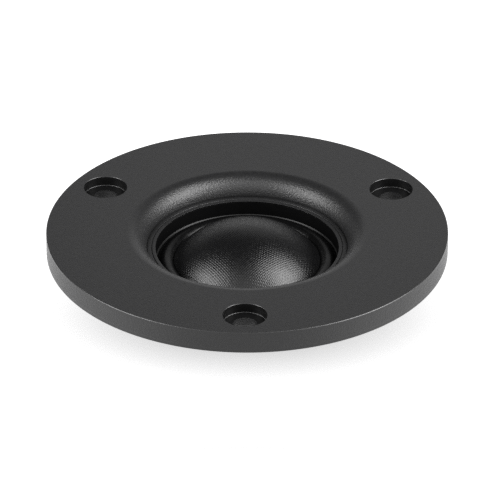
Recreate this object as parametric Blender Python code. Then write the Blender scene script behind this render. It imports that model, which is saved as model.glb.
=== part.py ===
"""Slim neodymium soft-dome car tweeter, modelled as the assembly of its real pieces.

+Z is the axis, pointing out of the dome. The origin is on the axis, at the rear chamber's base.
Turned profiles are lists of (radius, depth), where depth is measured from the flange's front face towards
the rear, as on a drawing. Every length is in metres.
"""

import math

import bmesh
import bpy

MM = 0.001

# Driving dimensions
OVERALL_DEPTH = 18.75 * MM
GAP = 0.05 * MM
STEPS = 40
FLANGE_STEPS = 64

# Faceplate
FLANGE_RADIUS = 36.1 * MM
FLANGE_THICKNESS = 4.1 * MM
FLANGE_CHAMFER = 0.1 * MM
FLARE_START = 21.7 * MM
FLARE_ROUND = 3.6 * MM
LEDGE_INNER = 17.25 * MM
LEDGE_DEPTH = 3.55 * MM
THROAT_RADIUS = 16.5 * MM
THROAT_DEPTH = 3.62 * MM
LIP_THICKNESS = 0.2 * MM
BOSS_BORE = 17.6 * MM
BOSS_RADIUS = 23.0 * MM
BOSS_DEPTH = 6.45 * MM

# Mounting holes, counterbored for M4 pan-head screws
MOUNT_CIRCLE = 30.0 * MM
MOUNT_ANGLES = (-90.0, 30.0, 150.0)
MOUNT_HOLE = 2.1 * MM
COUNTERBORE = 3.92 * MM
COUNTERBORE_DEPTH = 1.8 * MM

# Screws that hold the motor to the faceplate
MOTOR_SCREW_CIRCLE = 20.0 * MM
MOTOR_SCREW_ANGLES = (30.0, 150.0, 270.0)
MOTOR_SCREW_SHANK = 0.9 * MM
MOTOR_SCREW_HOLE = 1.0 * MM
MOTOR_SCREW_HEAD = 1.9 * MM
MOTOR_SCREW_HEAD_HEIGHT = 1.35 * MM
MOTOR_SCREW_TIP_DEPTH = 3.45 * MM
MOTOR_SCREW_HOLE_DEPTH = 3.05 * MM

# Diaphragm: dome, surround and voice coil
DOME_RADIUS = 13.2 * MM
DOME_SPHERE = 16.65 * MM
DOME_SPHERE_DEPTH = 16.4 * MM
SKIN = 0.25 * MM
SKIRT_END_DEPTH = 6.5 * MM
ROLL_RADIUS = 14.6 * MM
ROLL_ROUND = 1.7 * MM
ROLL_CENTRE_DEPTH = 7.35 * MM
SURROUND_DEPTH = 6.55 * MM
SURROUND_EDGE = 17.4 * MM
FORMER_INNER = 12.9 * MM
FORMER_OUTER = 13.02 * MM
FORMER_END_DEPTH = 10.45 * MM
WINDING_OUTER = 13.4 * MM
WINDING_TOP_DEPTH = 7.8 * MM
WINDING_END_DEPTH = 10.0 * MM

# Carrier ring that the surround is bonded to
CARRIER_BORE = 16.2 * MM
CARRIER_RADIUS = 22.8 * MM
CARRIER_END_DEPTH = 7.85 * MM
CARRIER_SEAT_DEPTH = SURROUND_DEPTH + SKIN + GAP
CARRIER_SEAT_RADIUS = 17.5 * MM

# Motor
MOTOR_TOP_DEPTH = 7.9 * MM
PLATE_THICKNESS = 2.0 * MM
POLE_RADIUS = 12.5 * MM
CAP_OUTER = 12.66 * MM
CAP_INNER = 12.56 * MM
CAP_TOP_DEPTH = 7.8 * MM
CAP_TOP_THICKNESS = 0.07 * MM
GAP_BORE = 13.8 * MM
MAGNET_RADIUS = 11.6 * MM
MAGNET_THICKNESS = 3.5 * MM
VENT_RADIUS = 3.0 * MM
CUP_RADIUS = 16.5 * MM
CUP_BORE = 15.0 * MM
CUP_FLANGE_RADIUS = 17.8 * MM
CUP_FLANGE_THICKNESS = 0.8 * MM
CUP_END_DEPTH = 15.45 * MM

# Bracket that clamps the motor behind the faceplate
BRACKET_END_DEPTH = 10.35 * MM
BRACKET_BORE = 16.6 * MM
BRACKET_SEAT_BORE = 17.9 * MM

# Damping and rear chamber
PAD_RADIUS = 11.5 * MM
PAD_TOP_DEPTH = 6.25 * MM
PAD_END_DEPTH = 7.75 * MM
CHAMBER_RADIUS = 12.0 * MM
CHAMBER_WALL = 0.8 * MM
CHAMBER_FELT_RADIUS = 10.8 * MM
CHAMBER_FELT_TOP_DEPTH = 16.05 * MM

# Terminals
BOARD_HALF_WIDTH = 6.5 * MM
BOARD_INNER_Y = 17.2 * MM
BOARD_OUTER_Y = 25.2 * MM
BOARD_TOP_DEPTH = BRACKET_END_DEPTH + GAP
BOARD_THICKNESS = 1.2 * MM
BOARD_SCREW_Y = 20.0 * MM
BOARD_SCREW_SHANK = 0.7 * MM
BOARD_SCREW_HOLE = 0.8 * MM
BOARD_SCREW_HEAD = 1.5 * MM
BOARD_SCREW_HEAD_HEIGHT = 0.9 * MM
BOARD_SCREW_TIP_DEPTH = 9.15 * MM
BOARD_SCREW_HOLE_DEPTH = 8.95 * MM
TERMINAL_X = 4.0 * MM
TERMINAL_THICKNESS = 0.5 * MM
TERMINAL_BASE_Y = 22.3 * MM
TERMINAL_TIP_Y = 25.8 * MM
TERMINAL_TIP_DEPTH = 17.45 * MM
TERMINAL_WIDTHS = {"positive": 4.7 * MM, "negative": 2.8 * MM}
TERMINAL_SIDES = {"positive": 1.0, "negative": -1.0}
RIVET_Y = 23.9 * MM
RIVET_SHANK = 0.45 * MM
RIVET_HOLE = 0.5 * MM
RIVET_HEAD = 0.8 * MM
RIVET_HEAD_HEIGHT = 0.4 * MM

# Lead wires from the voice coil to the terminals
LEAD_RADIUS = 0.15 * MM
LEAD_DEPTH = 7.15 * MM
LEAD_COIL_RADIUS = 13.28 * MM
LEAD_SLOT_HALF_WIDTH = 0.6 * MM
LEAD_SLOT_DEPTH = 7.4 * MM

# Foam gasket behind the flange
GASKET_INNER = 27.0 * MM
GASKET_OUTER = 33.5 * MM
GASKET_THICKNESS = 0.8 * MM
GASKET_HOLE = 2.6 * MM

CUT_MARGIN = 1.0 * MM
WELD_DISTANCE = 0.001 * MM
SHARP_ANGLE = math.radians(30.0)


def height(depth):
    """Z of a point this deep behind the flange's front face."""
    return OVERALL_DEPTH - depth


def on_circle(radius, degrees):
    """X and Y of a point on a circle about the axis."""
    angle = math.radians(degrees)
    return radius * math.cos(angle), radius * math.sin(angle)


def arc(centre_radius, centre_depth, radius, start, end, count):
    """Points of a profile arc. The angles are in degrees, from outwards towards the front."""
    points = []
    for i in range(count + 1):
        angle = math.radians(start + (end - start) * i / count)
        points.append((centre_radius + radius * math.cos(angle), centre_depth - radius * math.sin(angle)))
    return points


def clear_scene():
    for obj in list(bpy.data.objects):
        bpy.data.objects.remove(obj, do_unlink=True)


def finish_of(name, colour, roughness, metallic=0.0):
    """The Principled BSDF material of this name."""
    made = bpy.data.materials.get(name)
    if made:
        return made
    made = bpy.data.materials.new(name)
    made.use_nodes = True
    made.diffuse_color = (*colour, 1.0)
    shader = made.node_tree.nodes["Principled BSDF"]
    shader.inputs["Base Color"].default_value = (*colour, 1.0)
    shader.inputs["Roughness"].default_value = roughness
    shader.inputs["Metallic"].default_value = metallic
    return made


def anodised():
    return finish_of("black_anodised_aluminium", (0.030, 0.030, 0.032), 0.5, 0.6)


def black_plastic():
    return finish_of("black_plastic", (0.010, 0.010, 0.011), 0.6)


def plated_steel():
    return finish_of("plated_steel", (0.30, 0.30, 0.31), 0.35, 1.0)


def black_steel():
    return finish_of("black_steel", (0.045, 0.045, 0.048), 0.4, 1.0)


def felt():
    return finish_of("felt", (0.10, 0.10, 0.10), 0.95)


def copper():
    return finish_of("copper", (0.72, 0.33, 0.18), 0.3, 1.0)


def tinned_brass():
    return finish_of("tinned_brass", (0.72, 0.68, 0.58), 0.3, 1.0)


def mesh_object(name, shape, finish, location=(0.0, 0.0, 0.0)):
    """Makes an object of a bmesh, shaded smooth with its corners sharp."""
    bmesh.ops.recalc_face_normals(shape, faces=shape.faces)
    mesh = bpy.data.meshes.new(name)
    shape.to_mesh(mesh)
    shape.free()
    mesh.shade_smooth()
    mesh.set_sharp_from_angle(angle=SHARP_ANGLE)
    mesh.materials.append(finish)
    obj = bpy.data.objects.new(name, mesh)
    obj.location = location
    bpy.context.scene.collection.objects.link(obj)
    return obj


def turned(name, profile, finish, steps=STEPS, centre=(0.0, 0.0)):
    """Turns a profile about a vertical line. One that doesn't reach the line is a closed ring."""
    shape = bmesh.new()
    corners = [shape.verts.new((radius, 0.0, height(depth))) for radius, depth in profile]
    edges = [shape.edges.new(pair) for pair in zip(corners, corners[1:])]
    if profile[0][0] > 0.0:
        edges.append(shape.edges.new((corners[-1], corners[0])))
    bmesh.ops.spin(
        shape,
        geom=corners + edges,
        cent=(0.0, 0.0, 0.0),
        axis=(0.0, 0.0, 1.0),
        angle=2.0 * math.pi,
        steps=steps,
        use_merge=True,
    )
    bmesh.ops.remove_doubles(shape, verts=shape.verts, dist=WELD_DISTANCE)
    return mesh_object(name, shape, finish, (*centre, 0.0))


def tube_profile(inner, outer, top, end):
    """Profile of a plain ring between two radii and two depths."""
    return [(outer, top), (outer, end), (inner, end), (inner, top)]


def disc_profile(radius, top, end):
    """Profile of a plain disc or pin."""
    return [(0.0, top), (radius, top), (radius, end), (0.0, end)]


def block(name, low, high, finish):
    """A box between two corners, each (x, y, depth)."""
    shape = bmesh.new()
    bmesh.ops.create_cube(shape, size=1.0)
    for vert in shape.verts:
        share = [coordinate + 0.5 for coordinate in vert.co]
        x = low[0] + share[0] * (high[0] - low[0])
        y = low[1] + share[1] * (high[1] - low[1])
        z = height(low[2]) + share[2] * (height(high[2]) - height(low[2]))
        vert.co = (x, y, z)
    return mesh_object(name, shape, finish)


def cut(target, cutter):
    """Takes the cutter's shape out of the target."""
    cutter.hide_render = True
    cutter.display_type = "WIRE"
    modifier = target.modifiers.new(cutter.name, "BOOLEAN")
    modifier.operation = "DIFFERENCE"
    modifier.solver = "EXACT"
    modifier.object = cutter


def cut_holes(target, label, profile, circle, angles, steps):
    """Cuts the same turned hole at each angle of a circle."""
    for number, degrees in enumerate(angles, start=1):
        name = f"cut_{target.name}_{label}_{number}"
        cut(target, turned(name, profile, target.data.materials[0], steps, on_circle(circle, degrees)))


def make_faceplate():
    flare = arc(FLARE_START, FLARE_ROUND, FLARE_ROUND, 180.0, 90.0, 6)
    lip_depth = THROAT_DEPTH + LIP_THICKNESS
    profile = [
        (FLANGE_RADIUS - FLANGE_CHAMFER, 0.0),
        (FLANGE_RADIUS, FLANGE_CHAMFER),
        (FLANGE_RADIUS, FLANGE_THICKNESS - FLANGE_CHAMFER),
        (FLANGE_RADIUS - FLANGE_CHAMFER, FLANGE_THICKNESS),
        (BOSS_RADIUS, FLANGE_THICKNESS),
        (BOSS_RADIUS, BOSS_DEPTH),
        (BOSS_BORE, BOSS_DEPTH),
        (BOSS_BORE, lip_depth),
        (THROAT_RADIUS, lip_depth),
        (THROAT_RADIUS, THROAT_DEPTH),
        (LEDGE_INNER, LEDGE_DEPTH),
        *flare,
    ]
    plate = turned("faceplate", profile, anodised(), FLANGE_STEPS)
    through = FLANGE_THICKNESS + CUT_MARGIN
    hole = [
        (0.0, -CUT_MARGIN),
        (COUNTERBORE, -CUT_MARGIN),
        (COUNTERBORE, COUNTERBORE_DEPTH),
        (MOUNT_HOLE, COUNTERBORE_DEPTH),
        (MOUNT_HOLE, through),
        (0.0, through),
    ]
    cut_holes(plate, "mount", hole, MOUNT_CIRCLE, MOUNT_ANGLES, 24)
    blind = disc_profile(MOTOR_SCREW_HOLE, MOTOR_SCREW_HOLE_DEPTH, BOSS_DEPTH + CUT_MARGIN)
    cut_holes(plate, "screw", blind, MOTOR_SCREW_CIRCLE, MOTOR_SCREW_ANGLES, 12)


def make_throat_ring():
    top = THROAT_DEPTH + LIP_THICKNESS + GAP
    profile = tube_profile(THROAT_RADIUS + GAP, BOSS_BORE - GAP, top, SURROUND_DEPTH - GAP)
    turned("throat_ring", profile, black_plastic())


def roll_arc(round_radius, plane_depth, outwards):
    """Points of the roll between the dome's skirt and the depth of the surround's flat edge."""
    inner = 180.0 - math.degrees(math.acos((ROLL_RADIUS - DOME_RADIUS - GAP) / round_radius))
    outer = math.degrees(math.asin((ROLL_CENTRE_DEPTH - plane_depth) / round_radius))
    angles = (inner, outer) if outwards else (outer, inner)
    return arc(ROLL_RADIUS, ROLL_CENTRE_DEPTH, round_radius, *angles, 6)


def make_surround():
    """A low roll with a flat edge outside it. Its inner end is bonded to the dome's skirt."""
    underside = SURROUND_DEPTH + SKIN
    profile = [
        (SURROUND_EDGE, SURROUND_DEPTH),
        (SURROUND_EDGE, underside),
        *roll_arc(ROLL_ROUND - SKIN, underside, False),
        *roll_arc(ROLL_ROUND, SURROUND_DEPTH, True),
    ]
    turned("surround", profile, finish_of("coated_cloth", (0.012, 0.012, 0.013), 0.45))


def dome_arc(sphere, base_radius, count, outwards):
    """Points of the dome's sphere from its apex to a base radius, or back again."""
    base_angle = 90.0 - math.degrees(math.asin(base_radius / sphere))
    angles = (90.0, base_angle) if outwards else (base_angle, 90.0)
    points = arc(0.0, DOME_SPHERE_DEPTH, sphere, *angles, count)
    return [(0.0 if abs(radius) < WELD_DISTANCE else radius, depth) for radius, depth in points]


def make_dome():
    inner_base = DOME_RADIUS - SKIN
    profile = [
        *dome_arc(DOME_SPHERE, DOME_RADIUS, 6, True),
        (DOME_RADIUS, SKIRT_END_DEPTH),
        (inner_base, SKIRT_END_DEPTH),
        *dome_arc(DOME_SPHERE - SKIN, inner_base, 4, False),
    ]
    return turned("dome", profile, finish_of("woven_textile", (0.014, 0.014, 0.015), 0.6))


def make_voice_coil():
    former_top = SKIRT_END_DEPTH + GAP
    former = tube_profile(FORMER_INNER, FORMER_OUTER, former_top, FORMER_END_DEPTH)
    winding = tube_profile(FORMER_OUTER + GAP, WINDING_OUTER, WINDING_TOP_DEPTH, WINDING_END_DEPTH)
    return [
        turned("voice_coil_former", former, finish_of("bare_aluminium", (0.75, 0.75, 0.77), 0.35, 1.0)),
        turned("voice_coil_winding", winding, copper()),
    ]


def make_diaphragm():
    """The pieces that travel together, on an empty that is on their joint's axis."""
    carrier = bpy.data.objects.new("diaphragm_travel", None)
    carrier.location = (0.0, 0.0, height(SURROUND_DEPTH))
    bpy.context.scene.collection.objects.link(carrier)
    for piece in [make_dome(), *make_voice_coil()]:
        piece.parent = carrier
        piece.location = (0.0, 0.0, -height(SURROUND_DEPTH))


def make_carrier():
    seat_top = BOSS_DEPTH + GAP
    profile = [
        (CARRIER_RADIUS, seat_top),
        (CARRIER_RADIUS, CARRIER_END_DEPTH),
        (CARRIER_BORE, CARRIER_END_DEPTH),
        (CARRIER_BORE, CARRIER_SEAT_DEPTH),
        (CARRIER_SEAT_RADIUS, CARRIER_SEAT_DEPTH),
        (CARRIER_SEAT_RADIUS, seat_top),
    ]
    ring = turned("diaphragm_carrier", profile, black_plastic())
    hole = disc_profile(MOTOR_SCREW_HOLE, BOSS_DEPTH - CUT_MARGIN, CARRIER_END_DEPTH + CUT_MARGIN)
    cut_holes(ring, "screw", hole, MOTOR_SCREW_CIRCLE, MOTOR_SCREW_ANGLES, 12)
    for side, sign in TERMINAL_SIDES.items():
        x = sign * TERMINAL_X
        low = (x - LEAD_SLOT_HALF_WIDTH, CARRIER_BORE - 2.0 * CUT_MARGIN, LEAD_SLOT_DEPTH)
        high = (x + LEAD_SLOT_HALF_WIDTH, CARRIER_RADIUS + CUT_MARGIN, BOSS_DEPTH - CUT_MARGIN)
        cut(ring, block(f"cut_carrier_slot_{side}", low, high, black_plastic()))


def make_motor():
    """Magnet and pole plate inside a steel cup, with a copper cap on the pole."""
    plate_end = MOTOR_TOP_DEPTH + PLATE_THICKNESS
    magnet_top = plate_end + GAP
    magnet_end = magnet_top + MAGNET_THICKNESS
    cup_floor = magnet_end + GAP
    flange_end = MOTOR_TOP_DEPTH + CUP_FLANGE_THICKNESS
    cap_underside = CAP_TOP_DEPTH + CAP_TOP_THICKNESS
    pole = tube_profile(VENT_RADIUS, POLE_RADIUS, cap_underside + GAP, plate_end)
    turned("pole_plate", pole, plated_steel())
    magnet = tube_profile(VENT_RADIUS, MAGNET_RADIUS, magnet_top, magnet_end)
    turned("magnet", magnet, finish_of("nickel_plate", (0.60, 0.59, 0.56), 0.25, 1.0))
    cap = [
        (CAP_OUTER, CAP_TOP_DEPTH),
        (CAP_OUTER, plate_end),
        (CAP_INNER, plate_end),
        (CAP_INNER, cap_underside),
        (VENT_RADIUS, cap_underside),
        (VENT_RADIUS, CAP_TOP_DEPTH),
    ]
    turned("copper_cap", cap, copper())
    cup = [
        (CUP_FLANGE_RADIUS, MOTOR_TOP_DEPTH),
        (CUP_FLANGE_RADIUS, flange_end),
        (CUP_RADIUS, flange_end),
        (CUP_RADIUS, CUP_END_DEPTH),
        (VENT_RADIUS, CUP_END_DEPTH),
        (VENT_RADIUS, cup_floor),
        (CUP_BORE, cup_floor),
        (CUP_BORE, plate_end),
        (GAP_BORE, plate_end),
        (GAP_BORE, MOTOR_TOP_DEPTH),
    ]
    turned("magnet_cup", cup, black_steel())


def make_bracket():
    seat_depth = MOTOR_TOP_DEPTH + CUP_FLANGE_THICKNESS + GAP
    profile = [
        (BOSS_RADIUS, MOTOR_TOP_DEPTH),
        (BOSS_RADIUS, BRACKET_END_DEPTH),
        (BRACKET_BORE, BRACKET_END_DEPTH),
        (BRACKET_BORE, seat_depth),
        (BRACKET_SEAT_BORE, seat_depth),
        (BRACKET_SEAT_BORE, MOTOR_TOP_DEPTH),
    ]
    bracket = turned("motor_bracket", profile, black_plastic())
    hole = disc_profile(MOTOR_SCREW_HOLE, MOTOR_TOP_DEPTH - CUT_MARGIN, BRACKET_END_DEPTH + CUT_MARGIN)
    cut_holes(bracket, "screw", hole, MOTOR_SCREW_CIRCLE, MOTOR_SCREW_ANGLES, 12)
    blind = disc_profile(BOARD_SCREW_HOLE, BOARD_SCREW_HOLE_DEPTH, BRACKET_END_DEPTH + CUT_MARGIN)
    cut_holes(bracket, "board", blind, BOARD_SCREW_Y, (90.0,), 12)


def screw_profile(shank, head, tip_depth, seat_depth, head_height):
    """Profile of a pan-head screw driven from behind, its head rounded at the rear edge."""
    head_end = seat_depth + head_height
    edge_round = 0.3 * head_height
    return [
        (0.0, tip_depth),
        (shank, tip_depth),
        (shank, seat_depth),
        (head, seat_depth),
        (head, head_end - edge_round),
        (head - edge_round, head_end),
        (0.0, head_end),
    ]


def make_motor_screws():
    seat_depth = BRACKET_END_DEPTH + GAP
    profile = screw_profile(
        MOTOR_SCREW_SHANK, MOTOR_SCREW_HEAD, MOTOR_SCREW_TIP_DEPTH, seat_depth, MOTOR_SCREW_HEAD_HEIGHT
    )
    for number, degrees in enumerate(MOTOR_SCREW_ANGLES, start=1):
        turned(f"motor_screw_{number}", profile, black_steel(), 16, on_circle(MOTOR_SCREW_CIRCLE, degrees))


def make_damping():
    pad = tube_profile(VENT_RADIUS, PAD_RADIUS, PAD_TOP_DEPTH, PAD_END_DEPTH)
    turned("dome_damping_pad", pad, felt())
    disc_end = OVERALL_DEPTH - CHAMBER_WALL - GAP
    turned("rear_chamber_felt", disc_profile(CHAMBER_FELT_RADIUS, CHAMBER_FELT_TOP_DEPTH, disc_end), felt())


def make_rear_chamber():
    rim_depth = CUP_END_DEPTH + GAP
    floor_depth = OVERALL_DEPTH - CHAMBER_WALL
    bore = CHAMBER_RADIUS - CHAMBER_WALL
    edge = 0.4 * MM
    profile = [
        (0.0, floor_depth),
        (bore, floor_depth),
        (bore, rim_depth),
        (CHAMBER_RADIUS, rim_depth),
        (CHAMBER_RADIUS, OVERALL_DEPTH - edge),
        (CHAMBER_RADIUS - edge, OVERALL_DEPTH),
        (0.0, OVERALL_DEPTH),
    ]
    turned("rear_chamber", profile, black_plastic())


def make_terminal(side, board):
    """A tab under the board, bent down at its outer end, and the rivet that holds it."""
    x = TERMINAL_SIDES[side] * TERMINAL_X
    half_width = TERMINAL_WIDTHS[side] / 2.0
    top = BOARD_TOP_DEPTH + BOARD_THICKNESS + GAP
    underside = top + TERMINAL_THICKNESS
    blade_y = TERMINAL_TIP_Y - TERMINAL_THICKNESS
    outline = [
        (TERMINAL_BASE_Y, top),
        (TERMINAL_TIP_Y, top),
        (TERMINAL_TIP_Y, TERMINAL_TIP_DEPTH),
        (blade_y, TERMINAL_TIP_DEPTH),
        (blade_y, underside),
        (TERMINAL_BASE_Y, underside),
    ]
    shape = bmesh.new()
    corners = [shape.verts.new((x - half_width, y, height(depth))) for y, depth in outline]
    side_face = shape.faces.new(corners)
    grown = bmesh.ops.extrude_face_region(shape, geom=[side_face])
    moved = [item for item in grown["geom"] if isinstance(item, bmesh.types.BMVert)]
    bmesh.ops.translate(shape, verts=moved, vec=(2.0 * half_width, 0.0, 0.0))
    tab = mesh_object(f"terminal_{side}", shape, tinned_brass())
    hole = disc_profile(RIVET_HOLE, BOARD_TOP_DEPTH - CUT_MARGIN, underside + CUT_MARGIN)
    for target in (tab, board):
        cut(target, turned(f"cut_{target.name}_rivet_{side}", hole, tinned_brass(), 12, (x, RIVET_Y)))
    rivet = [
        (0.0, BOARD_TOP_DEPTH - GAP - RIVET_HEAD_HEIGHT),
        (RIVET_HEAD, BOARD_TOP_DEPTH - GAP - RIVET_HEAD_HEIGHT),
        (RIVET_HEAD, BOARD_TOP_DEPTH - GAP),
        (RIVET_SHANK, BOARD_TOP_DEPTH - GAP),
        (RIVET_SHANK, underside + GAP),
        (RIVET_HEAD, underside + GAP),
        (RIVET_HEAD, underside + GAP + RIVET_HEAD_HEIGHT),
        (0.0, underside + GAP + RIVET_HEAD_HEIGHT),
    ]
    turned(f"terminal_rivet_{side}", rivet, tinned_brass(), 12, (x, RIVET_Y))


def make_terminal_board():
    low = (-BOARD_HALF_WIDTH, BOARD_INNER_Y, BOARD_TOP_DEPTH + BOARD_THICKNESS)
    high = (BOARD_HALF_WIDTH, BOARD_OUTER_Y, BOARD_TOP_DEPTH)
    board = block("terminal_board", low, high, finish_of("phenolic_board", (0.16, 0.08, 0.035), 0.5))
    hole = disc_profile(BOARD_SCREW_HOLE, BOARD_TOP_DEPTH - CUT_MARGIN, low[2] + CUT_MARGIN)
    cut(board, turned("cut_board_screw", hole, black_steel(), 12, (0.0, BOARD_SCREW_Y)))
    screw = screw_profile(
        BOARD_SCREW_SHANK, BOARD_SCREW_HEAD, BOARD_SCREW_TIP_DEPTH, low[2] + GAP, BOARD_SCREW_HEAD_HEIGHT
    )
    turned("terminal_board_screw", screw, black_steel(), 16, (0.0, BOARD_SCREW_Y))
    for side in TERMINAL_SIDES:
        make_terminal(side, board)


def spline_value(before, start, end, after, share):
    """A value between start and end on the smooth curve through four values."""
    slope = end - before
    bend = 2.0 * before - 5.0 * start + 4.0 * end - after
    twist = 3.0 * start - before - 3.0 * end + after
    return 0.5 * (2.0 * start + slope * share + bend * share**2 + twist * share**3)


def smooth_path(points, count):
    """Count points per stretch of the smooth curve through a route."""
    padded = [points[0], *points, points[-1]]
    path = []
    for i in range(len(points) - 1):
        for step in range(count):
            path.append([spline_value(*values, step / count) for values in zip(*padded[i : i + 4])])
    return [*path, points[-1]]


def make_lead(side):
    """A thin wire from the coil, under the surround, through the carrier's slot and down to its rivet."""
    x = TERMINAL_SIDES[side] * TERMINAL_X
    coil_y = math.sqrt(LEAD_COIL_RADIUS**2 - TERMINAL_X**2)
    rivet_top = BOARD_TOP_DEPTH - GAP - RIVET_HEAD_HEIGHT
    route = [
        (x, coil_y, WINDING_TOP_DEPTH - 2.0 * GAP),
        (x, coil_y + 0.05 * MM, LEAD_DEPTH + 0.25 * MM),
        (x, coil_y + 0.45 * MM, LEAD_DEPTH),
        (x, coil_y + 3.5 * MM, LEAD_DEPTH),
        (x, CARRIER_RADIUS - 1.0 * MM, LEAD_DEPTH),
        (x, RIVET_Y - 0.2 * MM, LEAD_DEPTH + 0.5 * MM),
        (x, RIVET_Y, LEAD_DEPTH + 1.5 * MM),
        (x, RIVET_Y, rivet_top - GAP),
    ]
    path = [(x, y, height(depth)) for x, y, depth in smooth_path(route, 3)]
    curve = bpy.data.curves.new(f"lead_wire_{side}", "CURVE")
    curve.dimensions = "3D"
    curve.bevel_depth = LEAD_RADIUS
    curve.bevel_resolution = 1
    curve.use_fill_caps = True
    spline = curve.splines.new("POLY")
    spline.points.add(len(path) - 1)
    for point, place in zip(spline.points, path):
        point.co = (*place, 1.0)
    colour = {"positive": (0.35, 0.02, 0.02), "negative": (0.015, 0.015, 0.015)}[side]
    curve.materials.append(finish_of(f"lead_insulation_{side}", colour, 0.5))
    lead = bpy.data.objects.new(f"lead_wire_{side}", curve)
    bpy.context.scene.collection.objects.link(lead)


def make_gasket():
    top = FLANGE_THICKNESS + GAP
    end = top + GASKET_THICKNESS
    foam = finish_of("foam", (0.03, 0.03, 0.03), 0.9)
    ring = turned("baffle_gasket", tube_profile(GASKET_INNER, GASKET_OUTER, top, end), foam, FLANGE_STEPS)
    hole = disc_profile(GASKET_HOLE, top - CUT_MARGIN, end + CUT_MARGIN)
    cut_holes(ring, "mount", hole, MOUNT_CIRCLE, MOUNT_ANGLES, 16)


def main():
    clear_scene()
    make_faceplate()
    make_throat_ring()
    make_surround()
    make_diaphragm()
    make_carrier()
    make_motor()
    make_bracket()
    make_motor_screws()
    make_damping()
    make_rear_chamber()
    make_terminal_board()
    for side in TERMINAL_SIDES:
        make_lead(side)
    make_gasket()


main()
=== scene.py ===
"""The finished look of the car tweeter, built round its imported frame.

+Z is the tweeter's axis, out of the dome. Turned profiles are lists of (radius, depth), where depth is
measured from the flange's front face towards the rear. Every length is in metres.
"""

import math

import bmesh
import bpy
from mathutils import Matrix, Vector
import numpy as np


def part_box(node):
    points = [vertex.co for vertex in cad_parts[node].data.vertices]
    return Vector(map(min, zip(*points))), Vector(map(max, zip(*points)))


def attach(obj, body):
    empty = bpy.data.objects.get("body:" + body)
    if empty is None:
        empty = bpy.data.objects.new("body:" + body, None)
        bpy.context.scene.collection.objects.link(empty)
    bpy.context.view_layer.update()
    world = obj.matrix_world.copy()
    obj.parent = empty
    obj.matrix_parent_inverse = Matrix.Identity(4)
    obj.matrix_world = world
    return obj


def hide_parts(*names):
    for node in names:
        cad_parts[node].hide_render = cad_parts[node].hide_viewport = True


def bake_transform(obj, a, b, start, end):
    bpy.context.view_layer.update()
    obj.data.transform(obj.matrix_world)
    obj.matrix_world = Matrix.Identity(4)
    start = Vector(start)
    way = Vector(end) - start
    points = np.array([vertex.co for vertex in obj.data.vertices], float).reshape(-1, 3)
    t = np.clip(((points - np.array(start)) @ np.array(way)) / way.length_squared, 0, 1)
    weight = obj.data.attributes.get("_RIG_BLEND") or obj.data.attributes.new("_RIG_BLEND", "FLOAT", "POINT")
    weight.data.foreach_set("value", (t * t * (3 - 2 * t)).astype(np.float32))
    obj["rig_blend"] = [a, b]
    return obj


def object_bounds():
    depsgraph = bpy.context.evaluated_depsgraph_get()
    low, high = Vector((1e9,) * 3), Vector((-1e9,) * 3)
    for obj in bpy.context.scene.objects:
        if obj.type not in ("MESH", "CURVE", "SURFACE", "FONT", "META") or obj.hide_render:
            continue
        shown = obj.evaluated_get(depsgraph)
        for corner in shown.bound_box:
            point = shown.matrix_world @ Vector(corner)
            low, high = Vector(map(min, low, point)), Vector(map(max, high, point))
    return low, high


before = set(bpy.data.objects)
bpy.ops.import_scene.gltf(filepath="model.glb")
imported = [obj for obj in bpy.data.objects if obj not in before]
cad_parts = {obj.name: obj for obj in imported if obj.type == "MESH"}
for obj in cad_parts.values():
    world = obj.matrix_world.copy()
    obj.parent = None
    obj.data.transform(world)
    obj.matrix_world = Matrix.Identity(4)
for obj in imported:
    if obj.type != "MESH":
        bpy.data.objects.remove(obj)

MM = 0.001
CAD_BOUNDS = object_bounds()
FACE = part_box("faceplate")[1].z
GAP = 0.05 * MM

# Faceplate
FLANGE_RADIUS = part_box("faceplate")[1].x
FLANGE_THICKNESS = 4.1 * MM
FLANGE_CHAMFER = 0.1 * MM
FLARE_START = 21.7 * MM
FLARE_ROUND = 3.6 * MM
LEDGE_INNER = 17.25 * MM
LEDGE_DEPTH = 3.55 * MM
GROOVE_WIDTH = 0.12 * MM
GROOVE_DEPTH = 0.18 * MM
THROAT_RADIUS = 16.5 * MM
THROAT_DEPTH = 3.62 * MM
LIP_DEPTH = 3.82 * MM
LIP_UNDERCUT = 0.2 * MM
LIP_EDGE = 0.04 * MM
LEDGE_RISE = 0.03 * MM
BOSS_BORE = 17.6 * MM
BOSS_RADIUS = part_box("motor_bracket")[1].x
BOSS_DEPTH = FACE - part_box("faceplate")[0].z

# Mounting holes
MOUNT_CIRCLE = 30.0 * MM
MOUNT_ANGLES = (-90.0, 30.0, 150.0)
MOUNT_HOLE = 2.1 * MM
COUNTERBORE = 3.92 * MM
COUNTERBORE_DEPTH = 1.8 * MM
COUNTERBORE_FILLET = 0.06 * MM
MOUTH_CHAMFER = 0.06 * MM
WALL_MARGIN = 0.02 * MM

# Diaphragm
DOME_RADIUS = 13.2 * MM
DOME_SPHERE = 16.65 * MM
DOME_SPHERE_DEPTH = 16.4 * MM
SKIN = 0.25 * MM
SKIRT_END_DEPTH = 6.5 * MM
ROLL_RADIUS = 14.6 * MM
ROLL_ROUND = 1.7 * MM
ROLL_CENTRE_DEPTH = 7.35 * MM
SURROUND_DEPTH = 6.55 * MM
BEAD_RADIUS = 16.3 * MM
BEAD_HEIGHT = 0.22 * MM
SURROUND_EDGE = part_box("surround")[1].x
FORMER_WALL = 0.12 * MM
WEAVE_PITCH = 0.33 * MM
WEAVE_ANGLE = math.radians(50.0)
WIRE_DIAMETER = 0.19 * MM

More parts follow.
